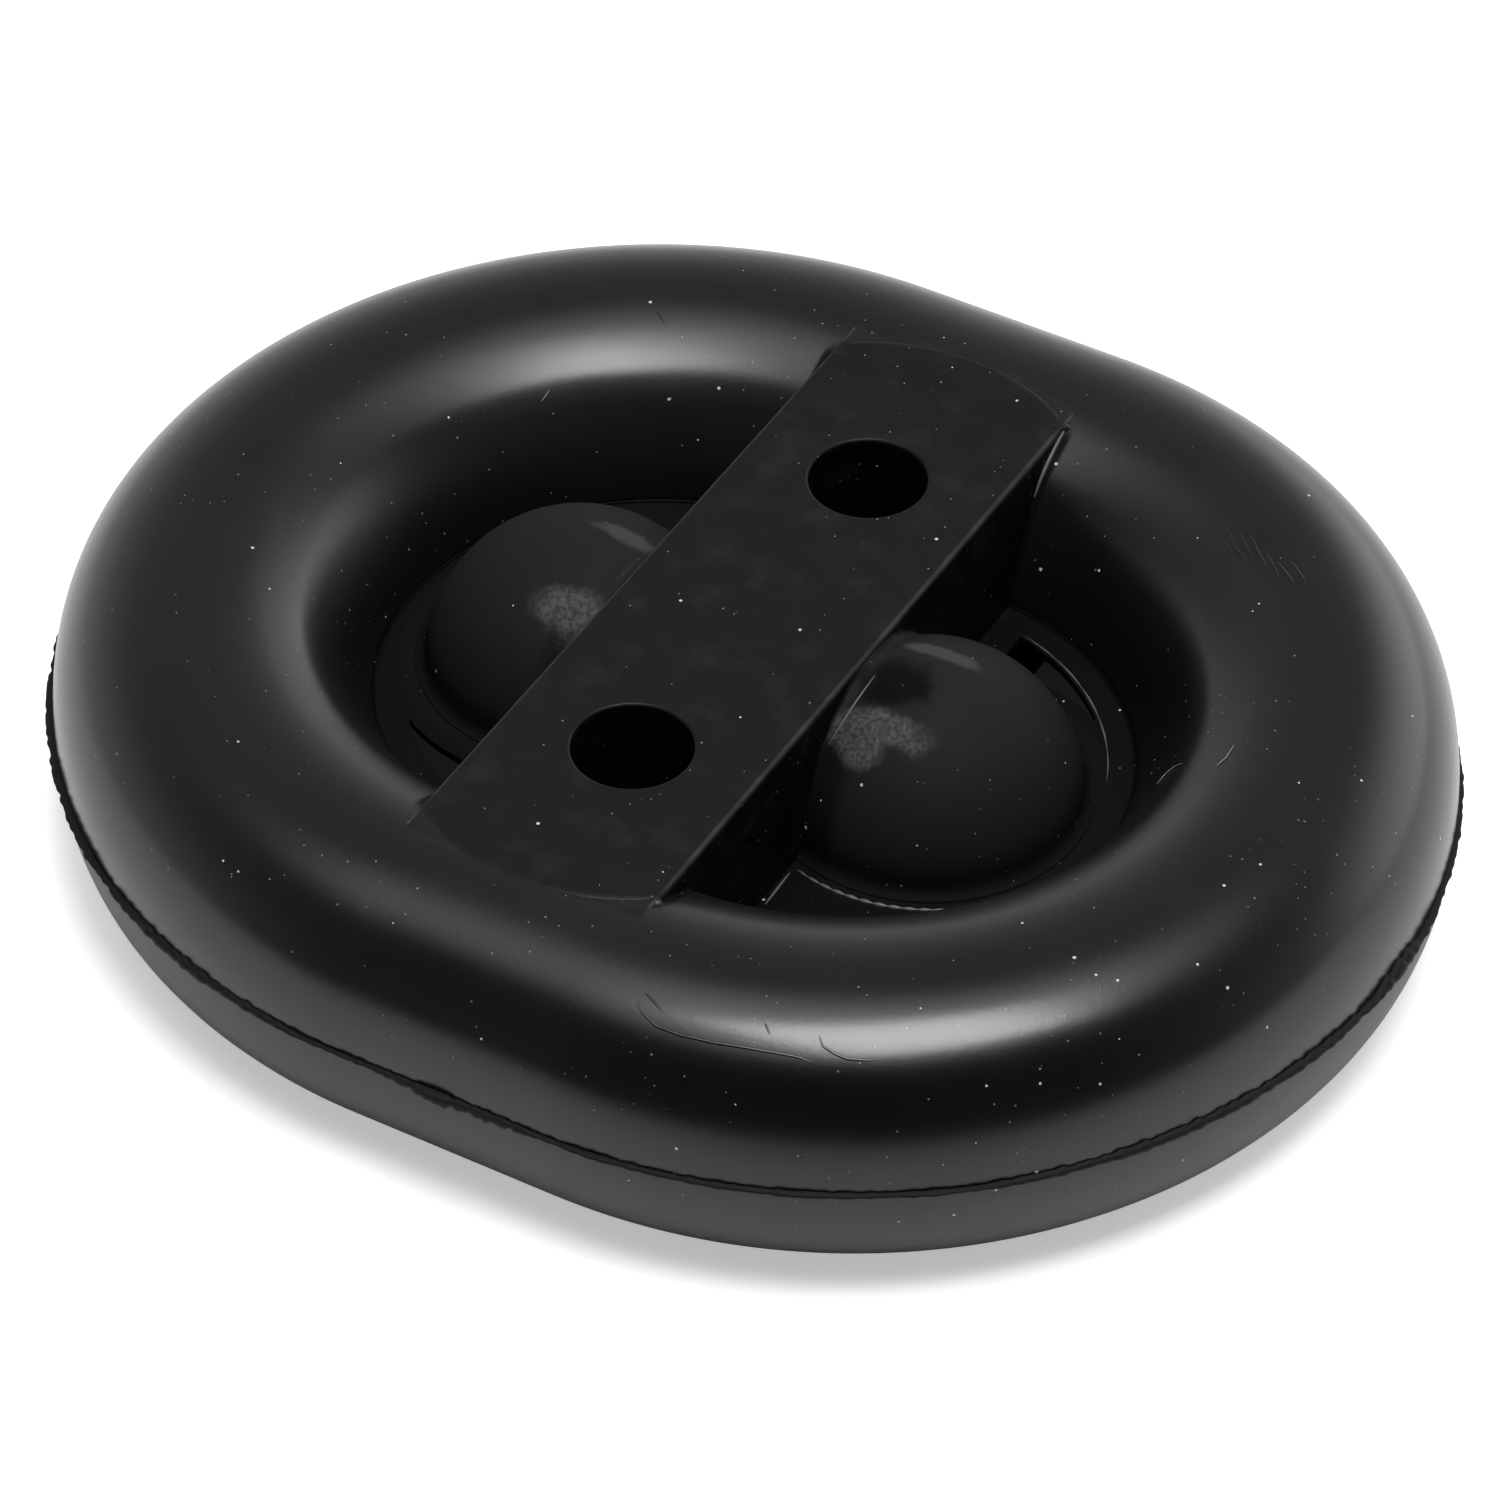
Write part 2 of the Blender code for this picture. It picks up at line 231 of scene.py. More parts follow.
# two points to a step give each wall face twice, so one of the two is kept, and then the flats
web_faces = [face for face in grid_faces(web_count, 2, True) if face[0] % 2 == 0]
web_faces += [list(range(0, 2 * web_count, 2)), list(range(2 * web_count - 1, 0, -2))]
web = new_solid("web", web_grid, web_faces)


# Cross bar: a flat-topped bar across the pocket, its sides drafted so that it leaves the
# mould, with small round edges. Its two ends are sunk into the ring.
bar_half_height = 12.6 * mm
bar_half_width = 10.95 * mm
bar_draft = 0.6 * mm
bar_edge_radius = 0.35 * mm
flat_sink = 0.02 * mm             # of what is laid on the bar's flat, so that it joins
edge_steps = 7


def bar_outline():
    """Corner of a quarter of the section, rounded by a quarter circle, and mirrored twice."""
    lean = math.atan2(bar_draft, bar_half_height)
    turn = np.linspace(lean, math.pi / 2, edge_steps)
    centre_x = bar_half_width - bar_edge_radius * math.tan((math.pi / 2 - lean) / 2)
    corner = np.stack((centre_x + bar_edge_radius * np.cos(turn),
                       bar_half_height - bar_edge_radius * (1 - np.sin(turn))), axis=1)
    quarter = np.concatenate((((bar_half_width + bar_draft, 0),), corner))
    half = np.concatenate((quarter, quarter[::-1] * (-1, 1)))
    return np.concatenate((half, half[-2:0:-1] * (1, -1)))


def closed_length(name, grid):
    """Solid along a grid whose every row is a closed outline, with a flat face on each end."""
    rows, count = grid.shape[:2]
    first = list(range(count))
    last = list(range((rows - 1) * count, rows * count))
    return new_solid(name, grid, grid_faces(rows, count, False) + [first[::-1], last])


bar = closed_length("bar", np.stack([np.insert(bar_outline(), 1, end, axis=1)
                                     for end in (-ring_radius, ring_radius)]))


# Bar ends: the mould's flat insert presses the bar's dull flat out over the ring's crest. There
# it ends in a round about the bore, whose low rim dies out at the crest.
bore_spacing = 38.6 * mm
pad_start_y = 29.5 * mm
pad_end_radius = 18.7 * mm        # from the bore's axis
pad_top = ring_half_height + 0.02 * mm
pad_rise = 6.0 * mm               # over which the flat comes up to that
pad_edge = 1.2 * mm               # width of the round edge
pad_edge_drop = 0.8 * mm
pad_flare = (0.1 * mm, 0.6 * mm)  # more half width over the ring, left and right
pad_flare_from = 32.6 * mm
pad_flare_length = 1.4 * mm
pad_round_from = 33.4 * mm        # the edge is fully round from here on, and not yet 1 mm before
pad_floor = 9 * mm
pad_rows = 60
pad_columns = 70


def smooth_step(value):
    """Rise from 0 to 1 along a cubic that is level at both ends."""
    value = np.clip(value, 0, 1)
    return value * value * (3 - 2 * value)


def pad_grid():
    """Closed outlines across the pad, one after another along the bar.

    The half width at each y is the smaller of the bar's, flared over the ring, and the round
    end's chord. The surface falls away along a quarter circle near the pad's edge.
    """
    top_y = bore_spacing / 2 + pad_end_radius * 0.999  # just short of the tip
    y = pad_start_y + (top_y - pad_start_y) * np.sin(np.linspace(0, math.pi / 2, pad_rows))
    flare = smooth_step((y - pad_flare_from) / pad_flare_length)
    chord = np.sqrt(pad_end_radius ** 2 - (y - bore_spacing / 2) ** 2)
    left, right = (np.minimum(bar_half_width - bar_edge_radius * (1 - flare) + more * flare, chord)
                   for more in pad_flare)
    place = np.sin(np.linspace(-math.pi / 2, math.pi / 2, pad_columns))
    x = np.where(place < 0, left[:, None] * place, right[:, None] * place)
    y = np.repeat(y[:, None], pad_columns, axis=1)
    to_side = np.where(place < 0, left[:, None] + x, right[:, None] - x)
    to_end = pad_end_radius - np.hypot(x, y - bore_spacing / 2)
    inside = np.clip(np.minimum(to_side, to_end) / pad_edge, 0, 1)
    drop = pad_edge_drop * (1 - np.sqrt(1 - (1 - inside) ** 2))
    joined = np.clip((pad_round_from - y) / mm, 0, 1)
    rise = smooth_step((y - pad_start_y) / pad_rise)
    flat = bar_half_height - flat_sink
    top = np.stack((x, y, flat + (pad_top - flat) * rise - drop * (1 - joined)), axis=-1)
    floor = top[:, [-1, 0]]
    floor[:, :, 2] = pad_floor
    return np.concatenate((top, floor), axis=1)


pads = [closed_length("pad", pad_grid() * (1, end, face)) for end in (-1, 1) for face in (-1, 1)]


# Bump stops: a round dome on each side of the bar, which the exhaust's bracket strikes when
# the hanger stretches. Each has a small fillet and a fine line left by the mould at its foot.
dome_radius = 12.95 * mm
dome_x = bar_half_width + bar_draft + 5.15 * mm
dome_fillet = 1.2 * mm
fillet_stop = 0.35                # radians before level, where the fillet's arc ends
crown_opening = 0.03              # radians from the axis, where the arc begins
dome_columns = 128
dome_gap = 0.62 * mm
fillet_gap = 0.25 * mm


def dome_outline():
    """Upper half of the outline: an arc about the dome's centre from crown to foot, a fillet
    arc that turns it flat on the web, and a small bead where the fillet ends."""
    floor = web_half_thickness
    reach = dome_radius + dome_fillet
    centre = np.array((math.sqrt(reach ** 2 - (floor + dome_fillet) ** 2), floor + dome_fillet))
    touch = math.atan2(centre[1], centre[0])
    crown = np.linspace(math.pi / 2 - crown_opening, touch, 300)
    dome = dome_radius * np.stack((np.cos(crown), np.sin(crown)), axis=1)
    sweep = np.linspace(touch, math.pi / 2 - fillet_stop, 60)
    fillet = centre - dome_fillet * np.stack((np.cos(sweep), np.sin(sweep)), axis=1)
    foot = fillet[-1] + (witness_bead, 0)
    bead_turn = np.linspace(math.pi, 0, 40)
    bead = foot + witness_bead * np.stack((np.cos(bead_turn), np.sin(bead_turn)), axis=1)
    under = bead[-1:] - ((0, foot[1] - floor + seat),)
    outline = np.concatenate((dome, fillet[1:], bead[1:], under))
    gaps = np.full(len(outline), dome_gap)
    gaps[len(dome):] = fillet_gap
    gaps[-len(bead):] = bead_gap
    return spaced(outline, gaps)


def turned(name, outline, centre, top, columns):
    """The outline turned once round an upright axis at the centre, closed by one point at the
    top and one at the bottom."""
    turn = np.linspace(0, 2 * math.pi, columns, endpoint=False)
    across, height = outline.T
    rows = len(outline)
    grid = np.stack((centre[0] + across[:, None] * np.cos(turn),
                     centre[1] + across[:, None] * np.sin(turn),
                     np.repeat(height[:, None], columns, axis=1)), axis=-1).reshape(-1, 3)
    poles = np.array(((*centre, top), (*centre, -top)))
    first = np.arange(columns)
    after = np.roll(first, -1)
    last = first + (rows - 1) * columns
    upper_pole = np.stack((after, first, np.full(columns, rows * columns)), axis=1)
    lower_pole = np.stack((last, np.roll(last, -1), np.full(columns, rows * columns + 1)), axis=1)
    faces = grid_faces(rows, columns, False) + upper_pole.tolist() + lower_pole.tolist()
    return new_solid(name, np.concatenate((grid, poles)), faces)


dome_half = dome_outline()
dome_whole = np.concatenate((dome_half, dome_half[::-1] * (1, -1)))
domes = [turned(f"dome_{side}", dome_whole, (side * dome_x, 0), dome_radius, dome_columns)
         for side in (-1, 1)]


# Saddles: where each dome runs into the bar's edge, the mould leaves a broad hollow fillet,
# widest on the hanger's middle line, that dies away along the bar on both sides.
saddle_size = 1.7 * mm
saddle_end_size = 0.25 * mm
saddle_half_turn = math.radians(48)
saddle_rows = 65
saddle_curve_points = 13


def saddle_grid():
    """A curve from the bar's edge to the dome at each turn about the dome's level axis.

    The meeting circle is where the dome cuts the bar's side. The curve starts a fillet's size
    above it, or on the bar's flat where that is nearer, and ends a fillet's size along the
    dome, and the size falls off with the square of the turn. Three more points, sunk in the
    rubber, close the section.
    """
    turn = np.linspace(-saddle_half_turn, saddle_half_turn, saddle_rows)
    size = saddle_end_size + (saddle_size - saddle_end_size) * (1 - (turn / saddle_half_turn) ** 2)
    side = bar_half_width + bar_draft * (1 - dome_radius * np.cos(turn) / bar_half_height)
    depth = dome_x - side
    meeting = np.sqrt(dome_radius ** 2 - depth ** 2)
    corner = np.stack((side, meeting * np.sin(turn), meeting * np.cos(turn)), axis=1)
    wall_top = bar_half_height - bar_edge_radius
    raised = corner[:, 2] + size
    on_wall = raised < wall_top
    wall_x = bar_half_width + bar_draft * (1 - raised / bar_half_height)
    start = corner.copy()
    start[:, 0] = np.where(on_wall, wall_x, bar_half_width - bar_edge_radius)
    start[:, 2] = np.where(on_wall, raised, bar_half_height - flat_sink)
    centre = np.array((dome_x, 0, 0))
    outward = (corner - centre) / np.linalg.norm(corner - centre, axis=1, keepdims=True)
    onward = np.array((1, 0, 0)) - outward * outward[:, :1]
    onward /= np.linalg.norm(onward, axis=1, keepdims=True)
    end = corner + onward * size[:, None] - centre
    end = centre + end / np.linalg.norm(end, axis=1, keepdims=True) * dome_radius
    knee = corner.copy()
    knee[:, 2] = np.minimum(knee[:, 2], wall_top)
    share = np.linspace(0, 1, saddle_curve_points)[:, None, None]
    curve = (1 - share) ** 2 * start + 2 * share * (1 - share) * knee + share ** 2 * end
    sunk = np.stack((end - outward * size[:, None],
                     knee - size[:, None] * (1, 0, 1),
                     start - np.stack((size, size * 0, size * 0 + seat), axis=1)))
    return np.concatenate((curve, sunk)).transpose(1, 0, 2)


saddles = [closed_length("saddle", saddle_grid() * (side, 1, face))
           for side in (-1, 1) for face in (-1, 1)]


# Pin bores: two round holes through the bar, in which the exhaust's rods sit. The core pins
# of the mould leave them straight, with a slightly rounded mouth.
bore_radius = 5.0 * mm
mouth_radius = 0.3 * mm
bore_columns = 112
overrun = 5 * mm                  # of the cutting shapes, past the bar's faces
mouth_turn = np.linspace(0, math.pi / 2, 6)
mouth = np.stack((bore_radius + mouth_radius * (1 - np.sin(mouth_turn)),
                  bar_half_height - mouth_radius * (1 - np.cos(mouth_turn))), axis=1)
bore_half = np.concatenate((((bore_radius + mouth_radius, bar_half_height + overrun),), mouth))
bore_whole = np.concatenate((bore_half, bore_half[::-1] * (1, -1)))
bores = [turned(f"bore_{side}", bore_whole, (0, side * bore_spacing / 2),
                bar_half_height + overrun, bore_columns) for side in (-1, 1)]


# Windows: the web is open in its far right and near left corners, as the moulding leaves it:
# each opening runs beside the bar, inside the ring and round the dome's foot.
window_bar_margin = 2.7 * mm
window_ring_margin = 2.5 * mm
window_dome_margin = 2.7 * mm


def window_outline():
    """Corners where the line beside the bar, the circle inside the ring and the circle round
    the dome's foot cross, joined by the line and the two arcs."""
    line_x = bar_half_width + bar_draft + window_bar_margin
    outer = pocket_radius - window_ring_margin
    inner = dome_radius + dome_fillet / 2 + window_dome_margin
    tip_x = (outer ** 2 - inner ** 2 + dome_x ** 2 - end_centre_x ** 2)
    tip_x /= 2 * (dome_x - end_centre_x)
    outer_turn = np.linspace(math.acos((line_x - end_centre_x) / outer),
                             math.acos((tip_x - end_centre_x) / outer), 40)
    inner_turn = np.linspace(math.acos((tip_x - dome_x) / inner),
                             math.acos((line_x - dome_x) / inner), 30)
    outer_arc = np.stack((end_centre_x + outer * np.cos(outer_turn),
                          outer * np.sin(outer_turn)), axis=1)
    inner_arc = np.stack((dome_x + inner * np.cos(inner_turn),
                          inner * np.sin(inner_turn)), axis=1)
    return np.concatenate((outer_arc, inner_arc[1:]))


windows = [closed_length("window", np.stack([np.insert(window_outline() * side, 2, height, axis=1)
                                             for height in (-overrun, overrun)]))
           for side in (-1, 1)]


# Moulding: bar, domes, saddles and web are joined first, then cut, and joined with the ring
# last, because the ring has by far the most faces.
def settled(shape, operation, others):
    """The shape joined with or cut by the others, with its mesh replaced by the result."""
    for other in others:
        step = shape.modifiers.new("step", "BOOLEAN")
        step.operation = operation
        step.solver = "EXACT"
        step.object = other
    seen = shape.evaluated_get(bpy.context.evaluated_depsgraph_get())
    mesh = bpy.data.meshes.new_from_object(seen)
    shape.modifiers.clear()
    shape.data = mesh
    for other in others:
        bpy.data.objects.remove(other)
    return shape


settled(bar, "UNION", [web] + domes + saddles + pads)
settled(bar, "DIFFERENCE", bores + windows)
settled(hanger, "UNION", [bar])
hanger.data.shade_smooth()
hanger.data.set_sharp_from_angle(angle=math.radians(32))
even = hanger.modifiers.new("even_shading", "WEIGHTED_NORMAL")
even.keep_sharp = True


# Parting flash: the thin skin of rubber that squeezes out where the two halves of the mould
# meet. It was torn off by hand, and left a dark ragged edge with thicker lumps on the near side.
flash_proud = 0.7 * mm            # where it reaches furthest
flash_sink = 0.6 * mm
flash_gap = 0.3 * mm
flash_half = 0.14 * mm
flash_end_drop = 0.02 * mm        # this far short of the oval's furthest x it is back to usual,
flash_side_reach = 2 * mm         # and about this far from the middle of the straight sides
# along the oval in mm, and how far the flash stands out there in mm
flash_reach = ((0, 30, 60, 74, 79, 85, 110, 135, 150,
                165, 178, 190, 203, 209, 217, 224, 240, 279),
               (0.45, 0.4, 0.35, 0.5, 0.66, 0.5, 0.42, 0.4, 0.34,
                0.38, 0.52, 0.66, 0.66, 0.6, 0.38, 0.26, 0.3, 0.45))
# from and to along the oval, and how much thicker it is there above and below, in mm
flash_lumps = ((76.0, 81.5, 0.75, 0.15),
               (80.0, 112.0, 0.36, 0.10),
               (112.0, 139.0, 0.10, 0.05),
               (139.0, 155.0, 0.12, 0.80),
               (161.0, 179.0, 0.40, 0.20),
               (196.0, 232.0, 0.12, 0.22))


def waves(share, counts, starts):
    """Sum of sines with whole counts round the oval, each weighed so that they add up to 1."""
    turns = 2 * math.pi * share[:, None] * np.array(counts) + np.array(starts)
    return np.sin(turns).sum(axis=1) / len(counts)


def flash_grid():
    """Closed section at each step round the oval: root sunk in the ring, and a thin edge.

    The reach is the table's, times waves, and rises to its full value at the oval's two ends and
    in the middle of its two sides. A lump adds half a sine's arch to the height, roughened by
    quicker waves.
    """
    count = int(oval_length * (ring_radius + ring_outer_width) / ring_radius / flash_gap)
    share = np.arange(count) / count
    along = share * oval_length
    slow = waves(share, (23, 41, 67), (0.4, 2.1, 4.0))
    quick = waves(share, (149, 211, 307), (1.0, 3.3, 5.2))
    middle, out_x, out_y = oval(along)
    x = np.abs(middle + out_x * ring_radius)
    at_ends = 1 - (x.max() - x) / flash_end_drop
    at_sides = 1.2 - x / flash_side_reach
    full = np.clip(np.maximum(at_ends, at_sides), 0, 1)
    usual = np.interp(along / mm, *flash_reach) * mm
    reach = np.minimum(usual * (1 + 0.22 * slow + 0.2 * quick), flash_proud)
    reach = reach + (flash_proud - reach) * full
    above = flash_half * (1 + 0.25 * quick)
    below = flash_half * (1 - 0.25 * quick)
    rough = 1 + 0.45 * quick + 0.2 * slow
    for start, end, up, down in flash_lumps:
        arch = np.sin(math.pi * np.clip((along / mm - start) / (end - start), 0, 1)) ** 0.6
        above = above + arch * up * mm * rough
        below = below + arch * down * mm * rough
    # upper half of the section from root to edge: how far out, and how high, then mirrored down
    out = np.stack((0 * reach - flash_sink, 0 * reach, 0.6 * reach, reach), axis=1)
    across = ring_radius + ring_outer_width + np.concatenate((out, out[:, ::-1]), axis=1)
    heights = np.array((1, 1, 0.8, 0.45))
    height = np.concatenate((above[:, None] * heights, -below[:, None] * heights[::-1]), axis=1)
    return np.stack((middle[:, None] + out_x[:, None] * across, out_y[:, None] * across, height),
                    axis=-1)


def plain_material(name, colour, roughness, specular=0.5):
    """Material of one colour."""
    made = bpy.data.materials.new(name)
    made.use_nodes = True
    plain_shader = made.node_tree.nodes["Principled BSDF"]
    plain_shader.inputs["Base Color"].default_value = (*colour, 1)
    plain_shader.inputs["Roughness"].default_value = roughness
    plain_shader.inputs["Specular IOR Level"].default_value = specular
    return made


flash_points = flash_grid()
flash = new_solid("parting_flash", flash_points, grid_faces(*flash_points.shape[:2], True))
flash.data.shade_smooth()
flash.data.materials.append(plain_material("torn_rubber", (0.004, 0.004, 0.0042), 0.7, 0.2))
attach(flash, "root")
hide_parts("hanger_body")


# Mould marks: fine raised lines where the mould is scratched. Those on the near side catch the
# light under the highlight, and short ones lie side by side on the right.
mark_steps = 60


def laid_bead(name, path, normals, half_width, rise, dots=0):
    """Thin tube along a path, flattened on the surface, with ends that taper away.

    Its section is an ellipse across the path and the surface's normal, scaled by the root of half
    a sine's arch from end to end, and by a row of arches where there are dots.
    """
    share = np.linspace(0, 1, len(path))
    taper = np.sqrt(np.sin(math.pi * (0.02 + 0.96 * share)))
    if dots:
        taper = taper * (0.3 + 0.7 * np.abs(np.sin(math.pi * dots * share)))
    tangent = np.gradient(path, axis=0)
    tangent /= np.linalg.norm(tangent, axis=1, keepdims=True)
    across = np.cross(tangent, normals)
    turn = np.linspace(0, 2 * math.pi, 10, endpoint=False)[None, :, None]
    tube = across[:, None] * np.cos(turn) * half_width + normals[:, None] * np.sin(turn) * rise
    return closed_length(name, path[:, None] + tube * taper[:, None, None])


def on_ring(points):
    """Path over the ring's upper side through points in mm, with the surface's normals: the
    height and slope are read off the section at each point's distance from the end's centre."""
    points = np.array(points) * mm
    corner = np.linspace(0, 1, len(points))
    x, y = (np.interp(np.linspace(0, 1, mark_steps), corner, axis) for axis in points.T)
    past = np.maximum(np.abs(x) - end_centre_x, 0)
    away = np.hypot(past, y)
    foot = np.array((pocket_radius, web_half_thickness))
    curve = np.concatenate((inner_side(foot)[:0:-1],
                            crest_curve(np.linspace(math.pi / 2, 0.02, 400))))
    height = np.interp(away, *curve.T)
    fall = -np.interp(away, curve[:, 0], np.gradient(curve[:, 1], curve[:, 0]))
    normals = np.stack((np.sign(x) * past / away * fall, y / away * fall, np.ones_like(x)), axis=1)
    normals /= np.linalg.norm(normals, axis=1, keepdims=True)
    return np.stack((x, y, height), axis=1), normals


# points, half width and rise, all in mm
ring_marks = {
    "long_crease": (((15.0, -43.8), (15.8, -44.4), (17.3, -44.8), (19.3, -44.6), (21.9, -44.0),
                     (25.7, -42.8), (28.4, -41.9), (29.5, -41.7)), 0.13, 0.05),
    "hook": (((29.0, -39.9), (29.6, -40.4), (30.7, -40.4), (31.7, -40.2), (32.9, -39.6),
              (33.9, -39.0)), 0.12, 0.05),
    "left_nick": (((15.1, -42.9), (16.3, -43.3), (17.3, -43.7)), 0.11, 0.04),
    "middle_nick": (((24.8, -41.0), (25.6, -41.6)), 0.10, 0.04),
    "far_nick": (((-26.9, 30.0), (-25.4, 29.1)), 0.12, 0.05),
    "scratch_a": (((28.9, 28.7), (30.4, 27.1), (32.1, 25.8)), 0.17, 0.05),
    "scratch_b": (((30.1, 28.7), (31.6, 27.1), (32.8, 26.1)), 0.14, 0.04),
    "scratch_c": (((31.0, 28.8), (32.4, 27.3), (33.9, 26.0)), 0.17, 0.05),
    "scratch_d": (((29.2, 27.5), (31.1, 25.7)), 0.13, 0.04),
    "scratch_e": (((33.2, 27.4), (35.4, 25.3)), 0.13, 0.04),
    "scratch_f": (((34.5, 26.8), (37.1, 24.9)), 0.16, 0.05),
    "scratch_g": (((35.6, 27.3), (37.7, 25.7)), 0.12, 0.04)}
marks = [laid_bead(name, *on_ring(points), half_width * mm, rise * mm)
         for name, (points, half_width, rise) in ring_marks.items()]


# Edge lines: thin raised lines where the mould's parts meet, painted paler than the rest as a
# painted highlight on their round edges. They run down the bar's far end, round the right dome's
# foot, past a window and along a saddle.
line_points = 150
upright = np.array(((0.0, 0.0, 1.0),) * line_points)


def on_web(centre_x, reach, start, end):
    """Arc on the web about a centre on the X axis, between two turns in degrees."""
    turn = np.radians(np.linspace(start, end, line_points))
    return np.stack((centre_x + reach * np.cos(turn), reach * np.sin(turn),
                     np.full(line_points, web_half_thickness)), axis=1)


bar_end_points = ((11.0, 34.0), (11.05, 32.0), (11.12, 30.0), (11.2, 28.0))
corner_path = np.linspace((12.05, -18.8, 0.35), (11.9, -14.5, 0.35), line_points) * mm
window_line_reach = pocket_radius - window_ring_margin + 0.3 * mm
saddle_foot = saddle_grid()[4:28, saddle_curve_points - 1]
edge_lines = [
    laid_bead("bar_end_line", *on_ring(bar_end_points), 0.20 * mm, 0.2 * mm),
    laid_bead("foot_beads", on_web(dome_x, 14.6 * mm, -108, -50), upright, 0.2 * mm, 0.2 * mm, 12),
    laid_bead("corner_line", corner_path, upright, 0.12 * mm, 0.12 * mm),
    laid_bead("window_line", on_web(end_centre_x, window_line_reach, 76, 22), upright,
              0.11 * mm, 0.12 * mm, 5),
    laid_bead("saddle_line", saddle_foot, (saddle_foot - (dome_x, 0, 0)) / dome_radius,
              0.10 * mm, 0.09 * mm)]
# pale base colour: a painted highlight on the edge lines
painted_highlight_rubber = plain_material("painted_highlight_rubber", (0.065, 0.065, 0.064), 0.5)
for line in edge_lines:
    line.data.materials.append(painted_highlight_rubber)


# Lint: three short pale hairs that cling to the rubber, two on the right and one far left.
lint_half = 0.038 * mm
lint_lift = 0.06 * mm
lint_grey = plain_material("lint_grey", (0.22, 0.22, 0.21), 0.8)
lint_hairs = {"lint_wall": ((36.1, 3.0), (36.4, 3.8), (37.0, 4.1), (37.9, 3.9)),
              "lint_rim": ((41.3, 2.9), (41.6, 4.1), (41.5, 5.7)),
              "lint_left": ((-31.2, 17.9), (-31.05, 18.5), (-31.0, 19.0))}
for lint_name, lint_points in lint_hairs.items():
    path, normals = on_ring(lint_points)
    lint = laid_bead(lint_name, path + normals * lint_lift, normals, lint_half, lint_half)
    lint.data.shade_smooth()
    lint.data.materials.append(lint_grey)
    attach(lint, "root")
    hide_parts("hanger_body")


# Rubber skin: black, carbon filled. The polished mould leaves the ring satin; the bar's flat,
# the domes and the web come from duller inserts. White talc specks and moulding dust stick to it.
rubber = bpy.data.materials.new("moulded_rubber")
rubber.use_nodes = True
skin = rubber.node_tree
shader = skin.nodes["Principled BSDF"]
place = skin.nodes.new("ShaderNodeTexCoord").outputs["Object"]


def fill(tree, socket, value):
    """Link a socket's value to an input, or set the input to a number or vector."""
    if isinstance(value, bpy.types.NodeSocket):
        tree.links.new(value, socket)
    else:
        socket.default_value = value


def worked(tree, kind, operation, *values):
    """Number from a new math or vector math node."""
    node = tree.nodes.new(kind)
    node.operation = operation
    for socket, value in zip(node.inputs, values):
        fill(tree, socket, value)
    return node.outputs["Value"]


def math_of(tree, operation, *values):
    """Number from a chain of new math nodes: the first value with the second, then the third."""
    total = worked(tree, "ShaderNodeMath", operation, *values[:2])
    for value in values[2:]:
        total = worked(tree, "ShaderNodeMath", operation, total, value)
    return total


def ramped(tree, value, low, high, at_low, at_high):
    """Smooth change from one number to another while the value goes from low to high."""
    node = tree.nodes.new("ShaderNodeMapRange")
    node.interpolation_type = "SMOOTHSTEP"
    ends = {"Value": value, "From Min": low, "From Max": high, "To Min": at_low, "To Max": at_high}
    for name, number in ends.items():
        fill(tree, node.inputs[name], number)
    return node.outputs["Result"]


def grey_of(tree, number):
    """Colour whose three parts are the number."""
    node = tree.nodes.new("ShaderNodeCombineColor")
    for socket in node.inputs[:3]:
        fill(tree, socket, number)
    return node.outputs[0]


def noise_of(scale, detail):
    """Noise between about 0.3 and 0.7 with so many waves to the metre."""
    node = skin.nodes.new("ShaderNodeTexNoise")
    node.inputs["Scale"].default_value = scale
    node.inputs["Detail"].default_value = detail
    skin.links.new(place, node.inputs["Vector"])
    return node.outputs["Fac"]


def length_of(*offsets):
    """Root of the sum of the offsets' squares."""
    return math_of(skin, "SQRT", math_of(skin, "ADD", *[math_of(skin, "POWER", offset, 2.0)
                                                        for offset in offsets]))


def beyond(value, start):
    """How far the value is beyond the start, or 0."""
    return math_of(skin, "MAXIMUM", math_of(skin, "SUBTRACT", value, start), 0.0)


ragged = math_of(skin, "MULTIPLY", math_of(skin, "SUBTRACT", noise_of(300, 4), 0.5), 1.3)


def patch(middle, reach):
    """1 in the middle of a patch in mm, falling smoothly to 0 at its ragged edge."""
    mapping = skin.nodes.new("ShaderNodeMapping")
    mapping.vector_type = "TEXTURE"
    mapping.inputs["Location"].default_value = [value * mm for value in middle]
    mapping.inputs["Scale"].default_value = [value * mm for value in reach]
    skin.links.new(place, mapping.inputs["Vector"])
    away = worked(skin, "ShaderNodeVectorMath", "LENGTH", mapping.outputs["Vector"])
    return ramped(skin, math_of(skin, "ADD", away, ragged), 0.45, 1, 1, 0)


# where the bar, the domes, the web and the ring's lower side are: 1 there, and 0 elsewhere
split = skin.nodes.new("ShaderNodeSeparateXYZ")
skin.links.new(place, split.inputs[0])
x, y, z = split.outputs
side_x, side_y, side_z = (math_of(skin, "ABSOLUTE", axis) for axis in (x, y, z))
from_bore = length_of(beyond(side_y, bore_spacing / 2), side_x)
from_dome = length_of(math_of(skin, "SUBTRACT", side_x, dome_x), y, z)
from_end = length_of(beyond(side_x, end_centre_x), y)
bar_mask = math_of(
    skin, "MULTIPLY",
    ramped(skin, from_bore, pad_end_radius - 1.2 * mm, pad_end_radius + 0.6 * mm, 1, 0),
    ramped(skin, side_x, 11.6 * mm, 12.2 * mm, 1, 0))
dome_mask = math_of(
    skin, "MULTIPLY", ramped(skin, side_x, 11.0 * mm, 11.6 * mm, 0, 1),
    ramped(skin, from_dome, dome_radius + 1.6 * mm, dome_radius + 2.6 * mm, 1, 0))
